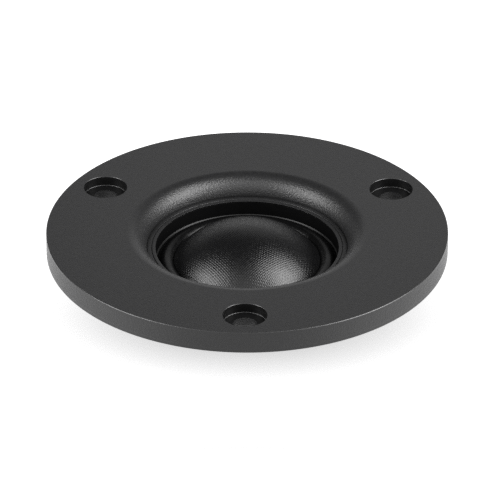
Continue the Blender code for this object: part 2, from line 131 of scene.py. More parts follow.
# Motor and rear pieces
VENT_RADIUS = 3.0 * MM
SCREW_CIRCLE = 20.0 * MM
SCREW_ANGLES = (30.0, 150.0, 270.0)
SCREW_HOLE = 1.0 * MM
SCREW_HOLE_DEPTH = 3.05 * MM
CARRIER_BORE = 16.2 * MM
CARRIER_SEAT_DEPTH = 6.85 * MM
CARRIER_SEAT_RADIUS = 17.5 * MM
CAP_TOP_THICKNESS = 0.07 * MM
CAP_SKIRT_WALL = 0.1 * MM
CUP_RADIUS = 16.5 * MM
CUP_BORE = 15.0 * MM
CUP_FLANGE_THICKNESS = 0.8 * MM
CUP_FLOOR_DEPTH = 13.5 * MM
GAP_BORE = 13.8 * MM
BRACKET_BORE = 16.6 * MM
BRACKET_SEAT_BORE = 17.9 * MM
BRACKET_SEAT_DEPTH = 8.75 * MM
CHAMBER_WALL = 0.8 * MM
CHAMBER_EDGE = 0.4 * MM
CHAMBER_GROOVE_OUTER = 9.2 * MM
CHAMBER_GROOVE_INNER = 8.4 * MM
CHAMBER_GROOVE_DEPTH = 0.2 * MM
FELT_EDGE = 0.35 * MM
GASKET_INNER = 27.0 * MM
GASKET_HOLE = 2.6 * MM

# Shank radius, head height and thread pitch of the two kinds of screw
CLAMP_SCREW = (0.9 * MM, 1.35 * MM, 0.45 * MM)
BOARD_SCREW = (0.7 * MM, 0.9 * MM, 0.4 * MM)

# Terminals and lead wires
SIDES = {"positive": 1.0, "negative": -1.0}
LEAD_SLOTS = {"positive": "lead_red", "negative": "lead_black"}
LEAD_COLOURS = {"positive": (0.35, 0.015, 0.015), "negative": (0.015, 0.015, 0.016)}
TERMINAL_X = 4.0 * MM
TERMINAL_THICKNESS = 0.5 * MM
BEND_OUTSIDE = 0.45 * MM
BEND_INSIDE = 0.15 * MM
LOCK_HOLE = 0.6 * MM
LOCK_HOLE_HEIGHT = 2.0 * MM
RIVET_Y = 23.9 * MM
RIVET_HOLE = 0.5 * MM
RIVET_SHANK = 0.45 * MM
RIVET_HEAD_HEIGHT = 0.4 * MM
BOARD_SCREW_Y = 20.0 * MM
BOARD_SCREW_HOLE = 0.8 * MM
BOARD_SCREW_HOLE_DEPTH = 8.95 * MM
LEAD_RADIUS = 0.15 * MM
LEAD_DEPTH = 7.15 * MM
LEAD_COIL_RADIUS = 13.28 * MM
LEAD_HELD_Y = 16.0 * MM
LEAD_RISE_Y = 21.8 * MM
LEAD_SLOT_HALF_WIDTH = 0.6 * MM
LEAD_SLOT_DEPTH = 7.4 * MM

# Mesh making
FINE_STEPS = 256
STEPS = 160
SMALL_STEPS = 48
CUT_MARGIN = 1.0 * MM
WELD_DISTANCE = 0.0005 * MM
SHARP_ANGLE = math.radians(40.0)

# Where the faceplate's coarser finish starts and ends, as depths between which it fades
COARSE_START = (0.05 * MM, 0.9 * MM)
COARSE_END = (3.25 * MM, 3.5 * MM)
COARSE_EXTRA_ROUGHNESS = 0.09

# Camera and studio
CAMERA_DISTANCE = 991.5 * MM
CAMERA_ELEVATION = math.radians(29.95)
CAMERA_AZIMUTH = math.radians(0.757)
CAMERA_LENS_MM = 397.5
AIM_RIGHT = 0.51 * MM
AIM_DOWN = 3.72 * MM
TABLE_HALF_SIZE = 3.0
# The floor's glow is painted light: lowest close to the tweeter, brighter away from it, and held low in
# front.
TABLE_GLOW = 0.56
TABLE_SIDE_GLOW = 1.14
TABLE_FAR_GLOW = 0.64
TABLE_GLOW_SQUEEZE = 1.8
TABLE_GLOW_RANGE = (20.0 * MM, 60.0 * MM)
TABLE_SQUEEZE_RANGE = (28.0 * MM, 50.0 * MM)
TABLE_FAR_RANGE = (28.0 * MM, 45.0 * MM)
WORLD_STRENGTH = 2.0
BACK_SIDE_SHARE = 0.25
BACK_SIDE_RANGE = (0.2, 0.75)
FACING_RANGE = (0.0, -0.5)
# Azimuth and elevation in degrees, distance, width and height in metres, radiance
SOFTBOXES = {
    "softbox_right": (100.0, 38.0, 0.45, 0.26, 0.46, 13.0),
    "softbox_left": (-105.0, 30.0, 0.45, 0.24, 0.36, 11.5),
    "softbox_back": (5.0, 27.0, 0.35, 0.20, 0.12, 0.5),
}
BACK_STOPS = ((0.0, 0.5), (0.12, 0.42), (0.30, 0.10), (0.5, 0.02), (1.0, 0.0))
FRONT_STOPS = ((0.0, 0.3), (0.3, 0.45), (0.55, 0.7), (0.8, 0.78), (0.92, 0.65), (1.0, 0.3))


# ---------------------------------------------------------------- shapes


def height(depth):
    """Z of a point this deep behind the flange's front face."""
    return FACE - depth


def depths(node):
    """(front depth, rear depth) of a CAD node."""
    low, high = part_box(node)
    return FACE - high.z, FACE - low.z


def on_circle(radius, degrees):
    """X and Y of a point on a circle about the axis."""
    angle = math.radians(degrees)
    return radius * math.cos(angle), radius * math.sin(angle)


def arc(centre_radius, centre_depth, radius, start, end, count):
    """Points of a profile arc. The angles are in degrees, from outwards towards the front."""
    points = []
    for i in range(count + 1):
        angle = math.radians(start + (end - start) * i / count)
        points.append((centre_radius + radius * math.cos(angle), centre_depth - radius * math.sin(angle)))
    return points


def rounded_corner(start, corner, end, count):
    """Points of the curve from start to end that takes the place of a corner."""
    points = []
    for step in range(count + 1):
        share = step / count
        points.append(tuple(start.lerp(corner, share).lerp(corner.lerp(end, share), share)))
    return points


def softened(points, radius, count=4):
    """The same profile with each corner rounded to at most this radius, except where it meets the axis."""
    corners = [Vector(point) for point in points]
    soft = []
    for i, corner in enumerate(corners):
        back = corners[i - 1] - corner
        on = corners[(i + 1) % len(corners)] - corner
        opening = back.angle(on)
        if corner.x == 0.0 or opening > math.radians(150.0):
            soft.append(tuple(corner))
            continue
        trim = min(radius / math.tan(opening / 2.0), 0.45 * back.length, 0.45 * on.length)
        start = corner + back.normalized() * trim
        end = corner + on.normalized() * trim
        soft += rounded_corner(start, corner, end, count)
    return soft


def ring_profile(inner, outer, top, end):
    return [(outer, top), (outer, end), (inner, end), (inner, top)]


def disc_profile(radius, top, end):
    return [(0.0, top), (radius, top), (radius, end), (0.0, end)]


def mesh_object(name, shape, location=(0.0, 0.0, 0.0)):
    """Makes an object of a bmesh, shaded smooth with its corners sharp."""
    bmesh.ops.recalc_face_normals(shape, faces=shape.faces)
    bmesh.ops.translate(shape, verts=shape.verts, vec=location)
    mesh = bpy.data.meshes.new(name)
    shape.to_mesh(mesh)
    shape.free()
    mesh.shade_smooth()
    mesh.set_sharp_from_angle(angle=SHARP_ANGLE)
    obj = bpy.data.objects.new(name, mesh)
    bpy.context.scene.collection.objects.link(obj)
    return obj


def turned(name, profile, steps=STEPS, centre=(0.0, 0.0)):
    """Turns a profile about a vertical line. One that doesn't reach the line is a closed ring."""
    shape = bmesh.new()
    corners = [shape.verts.new((radius, 0.0, height(depth))) for radius, depth in profile]
    edges = [shape.edges.new(pair) for pair in zip(corners, corners[1:])]
    if profile[0][0] > 0.0:
        edges.append(shape.edges.new((corners[-1], corners[0])))
    bmesh.ops.spin(
        shape,
        geom=corners + edges,
        cent=(0.0, 0.0, 0.0),
        axis=(0.0, 0.0, 1.0),
        angle=2.0 * math.pi,
        steps=steps,
        use_merge=True,
    )
    bmesh.ops.remove_doubles(shape, verts=shape.verts, dist=WELD_DISTANCE)
    return mesh_object(name, shape, (*centre, 0.0))


def bevel_corners(shape, width, segments=3):
    """Rounds every corner of a bmesh that is sharper than the shading's limit."""
    shape.normal_update()
    sharp = [edge for edge in shape.edges if edge.calc_face_angle(0.0) > SHARP_ANGLE]
    bmesh.ops.bevel(shape, geom=sharp, offset=width, segments=segments, profile=0.5, affect="EDGES")


def block(name, low, high, bevel=0.0):
    """A box between two corners, each (x, y, z), with its corners rounded."""
    shape = bmesh.new()
    bmesh.ops.create_cube(shape, size=1.0)
    low, high = Vector(low), Vector(high)
    for vert in shape.verts:
        vert.co = low + (high - low) * (vert.co + Vector((0.5, 0.5, 0.5)))
    if bevel:
        bevel_corners(shape, bevel)
    return mesh_object(name, shape)


def carve(obj, cutters):
    """Takes the cutters' shapes out of the object, and removes them."""
    for cutter in cutters:
        modifier = obj.modifiers.new(cutter.name, "BOOLEAN")
        modifier.operation = "DIFFERENCE"
        modifier.solver = "EXACT"
        modifier.object = cutter
    graph = bpy.context.evaluated_depsgraph_get()
    carved = bpy.data.meshes.new_from_object(obj.evaluated_get(graph))
    obj.modifiers.clear()
    obj.data = carved
    carved.shade_smooth()
    carved.set_sharp_from_angle(angle=SHARP_ANGLE)
    for cutter in cutters:
        bpy.data.objects.remove(cutter)


def hole_cutters(label, profile, circle, angles, steps=SMALL_STEPS):
    return [
        turned(f"cut_{label}_{number}", profile, steps, on_circle(circle, degrees))
        for number, degrees in enumerate(angles)
    ]


def place(obj, body, slot, material, *nodes):
    """Gives a piece its material and its body, and hides the CAD nodes that it stands for."""
    obj.data.materials.clear()
    obj.data.materials.append(material)
    weighted = obj.modifiers.new("even_normals", "WEIGHTED_NORMAL")
    weighted.keep_sharp = True
    if "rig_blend" not in obj:
        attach(obj, body)
    if nodes:
        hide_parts(*nodes)


# ---------------------------------------------------------------- materials


class Finish:
    """A Principled material and the nodes that give it its detail, in object coordinates."""

    def __init__(self, name, colour, roughness, metallic=0.0, specular=0.5):
        self.material = bpy.data.materials.new(name)
        self.material.use_nodes = True
        self.material.diffuse_color = (*colour, 1.0)
        self.tree = self.material.node_tree
        self.shader = self.tree.nodes["Principled BSDF"]
        self.colour = colour
        self.shader.inputs["Base Color"].default_value = (*colour, 1.0)
        self.shader.inputs["Roughness"].default_value = roughness
        self.shader.inputs["Metallic"].default_value = metallic
        self.shader.inputs["Specular IOR Level"].default_value = specular
        self.place = self.add("ShaderNodeTexCoord").outputs["Object"]
        self.normal = None

    def add(self, kind, **settings):
        node = self.tree.nodes.new(kind)
        for name, value in settings.items():
            setattr(node, name, value)
        return node

    def join(self, source, target):
        self.tree.links.new(source, target)

    def maths(self, operation, *values):
        """One Math node. A value is a number or another node's output."""
        node = self.add("ShaderNodeMath", operation=operation)
        for socket, value in zip(node.inputs, values):
            if isinstance(value, (int, float)):
                socket.default_value = value
            else:
                self.join(value, socket)
        return node.outputs[0]

    def noise(self, size, detail=2.0, stretch=(1.0, 1.0, 1.0)):
        """Noise whose features are about this size, in metres."""
        mapping = self.add("ShaderNodeMapping")
        mapping.inputs["Scale"].default_value = stretch
        self.join(self.place, mapping.inputs["Vector"])
        texture = self.add("ShaderNodeTexNoise")
        texture.inputs["Scale"].default_value = 1.0 / size
        texture.inputs["Detail"].default_value = detail
        self.join(mapping.outputs["Vector"], texture.inputs["Vector"])
        return texture.outputs["Fac"]

    def spread(self, value, low, high, start=0.3, end=0.7):
        """A pattern's usual range, stretched to run from low to high."""
        node = self.add("ShaderNodeMapRange")
        for name, number in (("From Min", start), ("From Max", end), ("To Min", low), ("To Max", high)):
            node.inputs[name].default_value = number
        self.join(value, node.inputs["Value"])
        return node.outputs["Result"]

    def shades(self, pattern, dark, light):
        """Lets the base colour vary with a pattern, between two shares of itself."""
        share = self.spread(pattern, 0.0, 1.0)
        mix = self.add("ShaderNodeMix", data_type="RGBA")
        ends = [socket for socket in mix.inputs if socket.type == "RGBA"]
        ends[0].default_value = (*[c * dark for c in self.colour], 1.0)
        ends[1].default_value = (*[c * light for c in self.colour], 1.0)
        mixed = [socket for socket in mix.outputs if socket.type == "RGBA"]
        self.join(share, mix.inputs["Factor"])
        self.join(mixed[0], self.shader.inputs["Base Color"])
        return self

    def sheens(self, pattern, low, high):
        """Lets the roughness vary with a pattern."""
        self.join(self.spread(pattern, low, high), self.shader.inputs["Roughness"])
        return self

    def bumps(self, pattern, rise, strength=1.0):
        """Raises the surface by a pattern, this far in metres, over what earlier calls raised."""
        bump = self.add("ShaderNodeBump")
        bump.inputs["Strength"].default_value = strength
        bump.inputs["Distance"].default_value = rise
        self.join(pattern, bump.inputs["Height"])
        if self.normal:
            self.join(self.normal, bump.inputs["Normal"])
        self.normal = bump.outputs["Normal"]
        self.join(self.normal, self.shader.inputs["Normal"])
        return self

    def rings(self, pitch):
        """The fine rings that turning leaves, this far apart."""
        flat = self.add("ShaderNodeVectorMath", operation="MULTIPLY")
        flat.inputs[1].default_value = (1.0, 1.0, 0.0)
        self.join(self.place, flat.inputs[0])
        length = self.add("ShaderNodeVectorMath", operation="LENGTH")
        self.join(flat.outputs["Vector"], length.inputs[0])
        return self.maths("SINE", self.maths("MULTIPLY", length.outputs["Value"], 2.0 * math.pi / pitch))

    def weave(self, pitch, angle):
        """Height of a plain weave: round threads in two directions that pass over and under each other."""
        turn = self.add("ShaderNodeMapping")
        turn.inputs["Rotation"].default_value = (0.0, 0.0, angle)
        turn.inputs["Scale"].default_value = (math.pi / pitch,) * 3
        self.join(self.place, turn.inputs["Vector"])
        axes = self.add("ShaderNodeSeparateXYZ")
        self.join(turn.outputs["Vector"], axes.inputs["Vector"])
        across = self.maths("COSINE", axes.outputs["X"])
        along = self.maths("COSINE", axes.outputs["Y"])
        lift = self.maths("MULTIPLY", self.maths("MULTIPLY", across, along), 0.38)
        warp = self.maths("MULTIPLY", self.maths("ABSOLUTE", across), self.maths("ADD", 0.62, lift))
        weft = self.maths("MULTIPLY", self.maths("ABSOLUTE", along), self.maths("SUBTRACT", 0.62, lift))
        return self.maths("MAXIMUM", warp, weft)


def anodised_aluminium():
    """Aluminium, anodised black. The flare is bead-blasted more coarsely than the flat and the ledge."""
    finish = Finish("bead_blasted_black_anodise", (0.0077, 0.0077, 0.0080), 0.34)
    finish.shades(finish.noise(0.9 * MM, 3.0), 0.90, 1.10)
    axes = finish.add("ShaderNodeSeparateXYZ")
    finish.join(finish.place, axes.inputs["Vector"])
    in_flare = finish.spread(axes.outputs["Z"], 1.0, 0.0, height(COARSE_START[1]), height(COARSE_START[0]))
    mottle = finish.spread(finish.noise(0.45 * MM, 3.0), 0.31, 0.37)
    rougher = finish.maths("MULTIPLY", in_flare, COARSE_EXTRA_ROUGHNESS)
    finish.join(finish.maths("ADD", mottle, rougher), finish.shader.inputs["Roughness"])
    finish.bumps(finish.noise(0.24 * MM, 1.5), 0.022 * MM)
    above_ledge = finish.spread(axes.outputs["Z"], 0.0, 1.0, height(COARSE_END[1]), height(COARSE_END[0]))
    coarse = finish.maths("MULTIPLY", finish.noise(0.30 * MM, 2.0), in_flare)
    coarse = finish.maths("MULTIPLY", coarse, above_ledge)
    return finish.bumps(coarse, 0.085 * MM).material


def counterbore_anodise():
    """The same anodise with a finer grain, made darker and less glossy: a painted shade inside the
    counterbores' recesses.
    """
    # Low base colour and low specular level: painted shade for the inside of each counterbore.
    finish = Finish("counterbore_shade_anodise", (0.003, 0.003, 0.0031), 0.40, specular=0.22)
    finish.sheens(finish.noise(0.3 * MM, 3.0), 0.34, 0.46)
    return finish.bumps(finish.noise(0.2 * MM, 2.0), 0.006 * MM).material


def dull_plastic(name, colour, specular):
    finish = Finish(name, colour, 0.62, specular=specular)
    finish.shades(finish.noise(1.2 * MM, 3.0), 0.85, 1.15)
    return finish.bumps(finish.noise(0.16 * MM, 2.0), 0.010 * MM).material


def coated_cloth():
    """Cloth under a thick, smooth damping coat."""
    finish = Finish("coated_cloth", (0.0017, 0.0017, 0.0018), 0.30, specular=0.28)
    finish.sheens(finish.noise(1.6 * MM, 3.0), 0.26, 0.34)
    finish.bumps(finish.weave(0.42 * MM, WEAVE_ANGLE), 0.004 * MM)
    return finish.bumps(finish.noise(0.8 * MM, 3.0), 0.010 * MM).material


def dried_glue():
    finish = Finish("dried_glue", (0.007, 0.007, 0.007), 0.45, specular=0.22)
    finish.shades(finish.noise(1.5 * MM, 3.0), 0.7, 1.3)
    return finish.bumps(finish.noise(0.9 * MM, 2.0), 0.01 * MM).material


def woven_dome():
    """Fine black cloth with a thin lacquer that lets the threads show, its colour darker in the gaps between
    threads as painted shade.
    """
    finish = Finish("woven_black_textile", (0.003, 0.003, 0.0032), 0.30, specular=0.38)
    threads = finish.weave(WEAVE_PITCH, WEAVE_ANGLE)
    # The base colour follows the weave's height and is darker where it is low: painted shade in the gaps
    # between threads.
    finish.shades(threads, 0.35, 1.25)
    finish.sheens(finish.noise(0.5 * MM, 2.0), 0.24, 0.33)
    finish.bumps(threads, 0.028 * MM)
    return finish.bumps(finish.noise(2.5 * MM, 2.0), 0.030 * MM).material


def metal(name, colour, roughness, ring_pitch):
    """A turned metal surface."""
    finish = Finish(name, colour, roughness, 1.0)
    finish.shades(finish.noise(2.0 * MM, 4.0), 0.85, 1.1)
    finish.sheens(finish.noise(0.6 * MM, 3.0), roughness * 0.8, roughness * 1.25)
    return finish.bumps(finish.rings(ring_pitch), 0.002 * MM, 0.6).material


def electrocoat():
    """Black electrocoat over turned steel."""
    finish = Finish("black_electrocoat", (0.022, 0.022, 0.023), 0.34)
    finish.sheens(finish.noise(0.8 * MM, 3.0), 0.30, 0.42)
    finish.bumps(finish.rings(0.35 * MM), 0.004 * MM, 0.7)
    return finish.bumps(finish.noise(0.5 * MM, 3.0), 0.008 * MM).material


def felt():
    finish = Finish("grey_felt", (0.10, 0.10, 0.10), 0.95, specular=0.2)
    finish.shader.inputs["Sheen Weight"].default_value = 0.3
    finish.shades(finish.noise(0.5 * MM, 5.0, (1.0, 3.0, 1.0)), 0.6, 1.4)
    return finish.bumps(finish.noise(0.25 * MM, 4.0, (1.0, 2.5, 1.0)), 0.08 * MM).material


def foam():
    finish = Finish("closed_cell_foam", (0.028, 0.028, 0.029), 0.9, specular=0.25)
    finish.shades(finish.noise(0.35 * MM, 3.0), 0.6, 1.3)
    return finish.bumps(finish.noise(0.28 * MM, 2.0), 0.06 * MM).material


def phenolic_board():
    finish = Finish("phenolic_paper_board", (0.19, 0.085, 0.035), 0.42)
    finish.shades(finish.noise(0.7 * MM, 5.0, (1.0, 4.0, 1.0)), 0.75, 1.2)
    return finish.bumps(finish.noise(0.3 * MM, 3.0), 0.006 * MM).material


def tinned_brass():
    finish = Finish("tinned_brass", (0.70, 0.67, 0.60), 0.28, 1.0)
    finish.shades(finish.noise(1.0 * MM, 4.0), 0.82, 1.05)
    finish.sheens(finish.noise(0.4 * MM, 3.0, (6.0, 1.0, 1.0)), 0.22, 0.38)
    return finish.bumps(finish.noise(0.3 * MM, 2.0, (8.0, 1.0, 1.0)), 0.003 * MM).material


def insulation(name, colour):
    finish = Finish(name, colour, 0.42)
    finish.shades(finish.noise(0.5 * MM, 3.0), 0.85, 1.12)
    return finish.bumps(finish.noise(0.15 * MM, 2.0), 0.004 * MM).material


# ---------------------------------------------------------------- front pieces


def finish_counterbores(plate):
    """Gives the counterbores' walls and floors the darker anodise, a painted shade in these recesses, but not
    the fillet between them.
    """
    plate.data.materials.append(counterbore_anodise())
    centres = [Vector(on_circle(MOUNT_CIRCLE, degrees)) for degrees in MOUNT_ANGLES]
    for face in plate.data.polygons:
        x, y, z = face.center
        radius = min((Vector((x, y)) - centre).length for centre in centres)
        on_wall = radius > COUNTERBORE - WALL_MARGIN and height(COUNTERBORE_DEPTH) < z < height(MOUTH_CHAMFER)
        on_floor = MOUNT_HOLE < radius < COUNTERBORE - COUNTERBORE_FILLET and z < height(COUNTERBORE_FILLET)
        # Painted shade: these recessed faces take the darker anodise.
        if radius < COUNTERBORE + GAP and (on_wall or on_floor):
            face.material_index = 1


def faceplate_outline():
    """The flange, the boss behind it, the throat's lip, the ledge with its two grooves and the flare."""
    flare_end = FLARE_START - FLARE_ROUND
    return [
        (FLANGE_RADIUS - FLANGE_CHAMFER, 0.0),
        (FLANGE_RADIUS, FLANGE_CHAMFER),
        (FLANGE_RADIUS, FLANGE_THICKNESS - FLANGE_CHAMFER),
        (FLANGE_RADIUS - FLANGE_CHAMFER, FLANGE_THICKNESS),
        (BOSS_RADIUS, FLANGE_THICKNESS),
        (BOSS_RADIUS, BOSS_DEPTH),
        (BOSS_BORE, BOSS_DEPTH),
        (BOSS_BORE, LIP_DEPTH),
        (THROAT_RADIUS + LIP_UNDERCUT, LIP_DEPTH),
        (THROAT_RADIUS, THROAT_DEPTH + LIP_EDGE),
        (THROAT_RADIUS, THROAT_DEPTH),
        (LEDGE_INNER - GROOVE_WIDTH, LEDGE_DEPTH),
        (LEDGE_INNER - GROOVE_WIDTH, LEDGE_DEPTH + GROOVE_DEPTH),
        (LEDGE_INNER, LEDGE_DEPTH + GROOVE_DEPTH),
        (LEDGE_INNER, LEDGE_DEPTH),
        (flare_end - GROOVE_WIDTH, FLARE_ROUND - LEDGE_RISE),
        (flare_end - GROOVE_WIDTH, FLARE_ROUND + GROOVE_DEPTH),
        (flare_end, FLARE_ROUND + GROOVE_DEPTH),
        (flare_end, FLARE_ROUND),
        *arc(FLARE_START, FLARE_ROUND, FLARE_ROUND, 178.0, 90.0, 22),
    ]


def mount_hole_outline():
    """A counterbored hole through the flange, with a chamfered mouth."""
    through = FLANGE_THICKNESS + CUT_MARGIN
    mouth = COUNTERBORE + MOUTH_CHAMFER
    return [
        (0.0, -CUT_MARGIN),
        (mouth, -CUT_MARGIN),
        (mouth, 0.0),
        (COUNTERBORE, MOUTH_CHAMFER),
        (COUNTERBORE, COUNTERBORE_DEPTH - COUNTERBORE_FILLET),
        (COUNTERBORE - COUNTERBORE_FILLET, COUNTERBORE_DEPTH),
        (MOUNT_HOLE, COUNTERBORE_DEPTH),
        (MOUNT_HOLE, through),
        (0.0, through),
    ]


def make_faceplate():
    plate = turned("faceplate_anodised", softened(faceplate_outline(), 0.06 * MM, 3), FINE_STEPS)
    cutters = hole_cutters("mount", mount_hole_outline(), MOUNT_CIRCLE, MOUNT_ANGLES, 2 * SMALL_STEPS)
    blind = disc_profile(SCREW_HOLE, SCREW_HOLE_DEPTH, BOSS_DEPTH + CUT_MARGIN)
    cutters += hole_cutters("screw", blind, SCREW_CIRCLE, SCREW_ANGLES, 24)
    carve(plate, cutters)
    place(plate, "frame", "faceplate_aluminium", anodised_aluminium(), "faceplate")
    finish_counterbores(plate)


def make_throat_ring():
    top, end = depths("throat_ring")
    outline = ring_profile(THROAT_RADIUS + GAP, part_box("throat_ring")[1].x, top, end)
    ring = turned("throat_wall", softened(outline, 0.08 * MM), FINE_STEPS)
    black = dull_plastic("dead_black_plastic", (0.0015, 0.0015, 0.0016), 0.05)
    place(ring, "frame", "throat_plastic", black, "throat_ring")


def follow_radius(obj, inner, outer):
    """Makes a ring follow the diaphragm at its inner radius and the frame at its outer one."""
    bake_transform(obj, "diaphragm", "frame", start=(inner, 0.0, 0.0), end=(outer, 0.0, 0.0))
    weights = []
    for vert in obj.data.vertices:
        share = (math.hypot(vert.co.x, vert.co.y) - inner) / (outer - inner)
        share = min(max(share, 0.0), 1.0)
        weights.append(share * share * (3.0 - 2.0 * share))
    obj.data.attributes["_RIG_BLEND"].data.foreach_set("value", weights)


def roll_arc(round_radius, plane_depth, outwards):
    """Points of the roll between the dome's skirt and the depth of the surround's flat edge."""
    inner = 180.0 - math.degrees(math.acos((ROLL_RADIUS - DOME_RADIUS - GAP) / round_radius))
    outer = math.degrees(math.asin((ROLL_CENTRE_DEPTH - plane_depth) / round_radius))
    angles = (inner, outer) if outwards else (outer, inner)
    return arc(ROLL_RADIUS, ROLL_CENTRE_DEPTH, round_radius, *angles, 24)


def make_surround():
    """A low roll between the dome and the throat."""
    underside = SURROUND_DEPTH + SKIN
    outline = [
        (SURROUND_EDGE, SURROUND_DEPTH),
        (SURROUND_EDGE, underside),
        *roll_arc(ROLL_ROUND - SKIN, underside, False),
        *roll_arc(ROLL_ROUND, SURROUND_DEPTH, True),
    ]
    ring = turned("surround_roll", softened(outline, 0.06 * MM, 3), FINE_STEPS)
    follow_radius(ring, DOME_RADIUS + GAP, ROLL_RADIUS + ROLL_ROUND)
    place(ring, "frame", "surround_coated_cloth", coated_cloth(), "surround")


def make_glue_bead():
    """The thin fillet of glue between the surround and the throat's wall."""
    seat = SURROUND_DEPTH - 0.01 * MM
    outline = [
        (BEAD_RADIUS, seat),
        (0.5 * (BEAD_RADIUS + THROAT_RADIUS), seat - 0.35 * BEAD_HEIGHT),
        (THROAT_RADIUS, seat - BEAD_HEIGHT),
        (THROAT_RADIUS + 0.04 * MM, seat - BEAD_HEIGHT),
        (THROAT_RADIUS + 0.04 * MM, seat),
    ]
    bead = turned("glue_bead", outline, FINE_STEPS)
    place(bead, "frame", "surround_coated_cloth", dried_glue())


def dome_arc(sphere, base_radius, count, outwards):
    """Points of the dome's sphere from its apex to a base radius, or back again."""
    base_angle = 90.0 - math.degrees(math.asin(base_radius / sphere))
    angles = (90.0, base_angle) if outwards else (base_angle, 90.0)
    points = arc(0.0, DOME_SPHERE_DEPTH, sphere, *angles, count)
    return [(0.0 if abs(radius) < WELD_DISTANCE else radius, depth) for radius, depth in points]


def make_dome():
    inner_base = DOME_RADIUS - SKIN
    outline = [
        *dome_arc(DOME_SPHERE, DOME_RADIUS, 60, True),
        (DOME_RADIUS, SKIRT_END_DEPTH),
        (inner_base, SKIRT_END_DEPTH),
        *dome_arc(DOME_SPHERE - SKIN, inner_base, 24, False),
    ]
    place(turned("woven_dome", outline, FINE_STEPS), "diaphragm", "dome_textile", woven_dome(), "dome")


def make_voice_coil(copper):
    top, end = depths("voice_coil_former")
    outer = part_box("voice_coil_former")[1].x
    former = turned("coil_former_foil", ring_profile(outer - FORMER_WALL, outer, top, end))
    foil = metal("former_foil", (0.75, 0.75, 0.77), 0.35, 0.3 * MM)
    place(former, "diaphragm", "former_aluminium", foil, "voice_coil_former")
    top, end = depths("voice_coil_winding")
    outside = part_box("voice_coil_winding")[1].x
    turns = int((end - top) / WIRE_DIAMETER)
    pitch = (end - top) / turns
    outline = []
    for turn in range(turns):
        centre = top + pitch * (turn + 0.5)
        outline += arc(outside - pitch / 2.0, centre, pitch / 2.0, 80.0, -80.0, 6)
    outline += [(outer + GAP, end), (outer + GAP, top)]
    winding = turned("coil_winding_turns", outline)
    place(winding, "diaphragm", "copper", copper, "voice_coil_winding")


# ---------------------------------------------------------------- rear pieces


def make_carrier(plastic):
    top, end = depths("diaphragm_carrier")
    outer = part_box("diaphragm_carrier")[1].x
    outline = [
        (outer, top),
        (outer, end),
        (CARRIER_BORE, end),
        (CARRIER_BORE, CARRIER_SEAT_DEPTH),
        (CARRIER_SEAT_RADIUS, CARRIER_SEAT_DEPTH),
        (CARRIER_SEAT_RADIUS, top),
    ]
    ring = turned("carrier_ring", softened(outline, 0.1 * MM, 3))
    hole = disc_profile(SCREW_HOLE, top - CUT_MARGIN, end + CUT_MARGIN)
    cutters = hole_cutters("carrier_screw", hole, SCREW_CIRCLE, SCREW_ANGLES, 24)
    for side, sign in SIDES.items():
        x = sign * TERMINAL_X
        low = (x - LEAD_SLOT_HALF_WIDTH, CARRIER_BORE - 2.0 * CUT_MARGIN, height(LEAD_SLOT_DEPTH))
        high = (x + LEAD_SLOT_HALF_WIDTH, outer + CUT_MARGIN, height(top - CUT_MARGIN))
        cutters.append(block(f"cut_slot_{side}", low, high))
    carve(ring, cutters)
    place(ring, "frame", "carrier_plastic", plastic, "diaphragm_carrier")


def make_magnet(steel):
    """Pole plate and magnet, both plain rings round the vent."""
    nickel = metal("nickel_plate", (0.62, 0.60, 0.56), 0.22, 0.5 * MM)
    for node, name, slot, material in (
        ("pole_plate", "pole_plate_turned", "plated_steel", steel),
        ("magnet", "magnet_ring", "magnet_nickel", nickel),
    ):
        outline = ring_profile(VENT_RADIUS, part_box(node)[1].x, *depths(node))
        place(turned(name, softened(outline, 0.12 * MM)), "frame", slot, material, node)


def make_copper_cap(copper):
    """The thin copper cap pressed over the pole plate."""
    top, end = depths("copper_cap")
    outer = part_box("copper_cap")[1].x
    inner = outer - CAP_SKIRT_WALL
    underside = top + CAP_TOP_THICKNESS
    outline = [
        (outer, top),
        (outer, end),
        (inner, end),
        (inner, underside),
        (VENT_RADIUS, underside),
        (VENT_RADIUS, top),
    ]
    cap = turned("copper_cap_pressed", softened(outline, 0.02 * MM, 2))
    place(cap, "frame", "copper", copper, "copper_cap")


def make_cup():
    """The steel cup that closes the magnet's circuit."""
    top, end = depths("magnet_cup")
    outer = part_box("magnet_cup")[1].x
    pole_end = depths("pole_plate")[1]
    outline = [
        (outer, top),
        (outer, top + CUP_FLANGE_THICKNESS),
        (CUP_RADIUS, top + CUP_FLANGE_THICKNESS),
        (CUP_RADIUS, end),
        (VENT_RADIUS, end),
        (VENT_RADIUS, CUP_FLOOR_DEPTH),
        (CUP_BORE, CUP_FLOOR_DEPTH),
        (CUP_BORE, pole_end),
        (GAP_BORE, pole_end),
        (GAP_BORE, top),
    ]
    cup = turned("magnet_cup_turned", softened(outline, 0.35 * MM, 6), FINE_STEPS)
    place(cup, "frame", "black_steel", electrocoat(), "magnet_cup")


def make_bracket(plastic):
    top, end = depths("motor_bracket")
    outline = [
        (BOSS_RADIUS, top),
        (BOSS_RADIUS, end),
        (BRACKET_BORE, end),
        (BRACKET_BORE, BRACKET_SEAT_DEPTH),
        (BRACKET_SEAT_BORE, BRACKET_SEAT_DEPTH),
        (BRACKET_SEAT_BORE, top),
    ]
    ring = turned("clamp_bracket", softened(outline, 0.3 * MM, 5), FINE_STEPS)
    hole = disc_profile(SCREW_HOLE, top - CUT_MARGIN, end + CUT_MARGIN)
    blind = disc_profile(BOARD_SCREW_HOLE, BOARD_SCREW_HOLE_DEPTH, end + CUT_MARGIN)
    cutters = hole_cutters("bracket_screw", hole, SCREW_CIRCLE, SCREW_ANGLES, 24)
    cutters += hole_cutters("bracket_board", blind, BOARD_SCREW_Y, (90.0,), 24)
    carve(ring, cutters)
    place(ring, "frame", "bracket_plastic", plastic, "motor_bracket")


